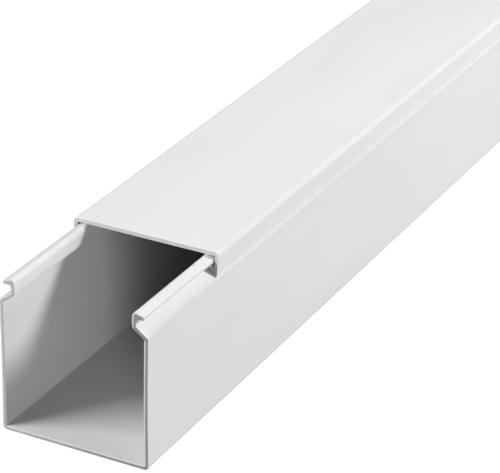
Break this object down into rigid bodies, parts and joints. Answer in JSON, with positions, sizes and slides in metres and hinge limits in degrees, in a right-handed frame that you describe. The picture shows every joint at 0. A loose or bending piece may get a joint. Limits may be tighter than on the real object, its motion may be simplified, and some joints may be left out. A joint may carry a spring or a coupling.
{
  "type": "cable trunking with clip-on lid",
  "caption": "Square white PVC cable trunking: an open channel with hooked lips and a flat clip-on lid that slides along it.",
  "frame": {"origin": "centre of the channel's back face, the flat face that goes against the wall", "axes": "+Y along the length, from the front cut end to the far one; +Z out of the back face towards the lid; +X across"},
  "size_m": [0.057, 1.048, 0.06],
  "materials": {
    "channel_pvc": "smooth extruded rigid PVC, low gloss",
    "lid_pvc": "smooth extruded rigid PVC, low gloss"
  },
  "bodies": {
    "base": {"channel": "channel_pvc"},
    "cover": {"lid": "lid_pvc"}
  },
  "joints": [
    {"name": "lid_slide", "type": "slide", "parent": "base", "child": "cover", "axis": [0, 1, 0], "range_m": [-0.048, 0.85]}
  ]
}
